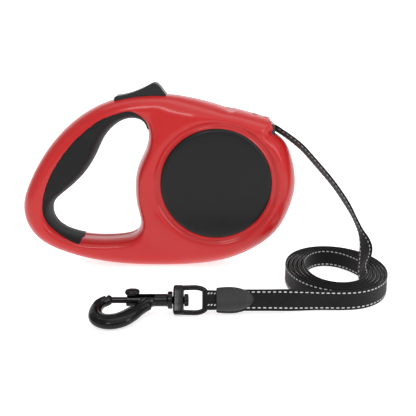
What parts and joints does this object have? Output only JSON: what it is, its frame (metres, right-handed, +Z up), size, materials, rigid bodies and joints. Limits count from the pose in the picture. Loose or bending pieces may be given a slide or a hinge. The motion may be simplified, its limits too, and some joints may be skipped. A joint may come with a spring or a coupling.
{
  "type": "retractable leash",
  "caption": "Egg-shaped retractable tape leash with hand opening, soft grip, thumb brake, coiled tape, keeper, swivel ring and bolt snap.",
  "frame": {"origin": "under the middle of the case, on the surface it stands on", "axes": "+X from the hand opening to the tape mouth, +Y from the front face to the rear face, +Z up"},
  "size_m": [0.2363, 0.13, 0.1244],
  "materials": {
    "red_shell": "glossy red ABS, faint moulding texture",
    "soft_black": "matte black overmoulded grip",
    "badge_black": "satin black disc",
    "button_black": "satin black thumb button",
    "steel": "plated steel",
    "inner_plastic": "natural acetal",
    "spring_steel": "blued spring steel",
    "tape": "black woven nylon tape with pale reflective stitching",
    "keeper_rubber": "black moulded keeper",
    "gunmetal": "gloss black plated zinc",
    "mouth_metal": "dark plated steel"
  },
  "bodies": {
    "case": {"front_shell": "red_shell", "rear_shell": "red_shell", "front_grip": "soft_black", "rear_grip": "soft_black", "front_badge": "badge_black", "rear_badge": "badge_black", "case_screws": "steel", "spool_axle": "steel", "thrust_washers": "inner_plastic", "spring_arbor": "inner_plastic", "lever_pivot_pin": "steel", "lever_spring": "spring_steel", "mouth_guide": "mouth_metal", "tape_feed": "tape", "tape_free": "tape", "tape_coil": "tape", "tape_run": "tape", "tape_end": "tape", "keeper_front": "keeper_rubber", "keeper_rear": "keeper_rubber"},
    "spool_set": {"spool": "inner_plastic", "power_spring": "spring_steel", "spring_cover": "steel", "tape_roll": "tape", "tape_anchor_pin": "steel"},
    "lever": {"brake_lever": "inner_plastic"},
    "button": {"thumb_button": "button_black"},
    "ring": {"swivel_ring": "gunmetal"},
    "hook": {"hook_body": "gunmetal", "bolt_spring": "spring_steel"},
    "bolt": {"hook_bolt": "gunmetal"}
  },
  "joints": [
    {"name": "spool_spin", "type": "hinge", "parent": "case", "child": "spool_set", "pos_m": [0.0385, 0, 0.0602], "axis": [0, 1, 0], "continuous": true},
    {"name": "brake_press", "type": "hinge", "parent": "case", "child": "lever", "pos_m": [-0.0305, 0, 0.1056], "axis": [0, 1, 0], "range_deg": [0, 5], "stiffness_Nm_per_rad": 1.2, "springref_deg": -5.16, "deforming": ["lever_spring"]},
    {"name": "lock_slide", "type": "slide", "parent": "lever", "child": "button", "axis": [1, 0, 0], "range_m": [0, 0.003]},
    {"name": "ring_swing", "type": "hinge", "parent": "case", "child": "ring", "pos_m": [0.0326, -0.086, 0.0086], "axis": [0, 0.5736, 0.8192], "range_deg": [-50, 50]},
    {"name": "hook_swivel", "type": "hinge", "parent": "ring", "child": "hook", "pos_m": [0.0133, -0.086, 0.0086], "axis": [1, 0, 0], "continuous": true},
    {"name": "bolt_slide", "type": "slide", "parent": "hook", "child": "bolt", "axis": [1, 0, 0], "range_m": [0, 0.0065], "stiffness_N_per_m": 250, "springref_m": -0.004, "deforming": ["bolt_spring"]}
  ]
}
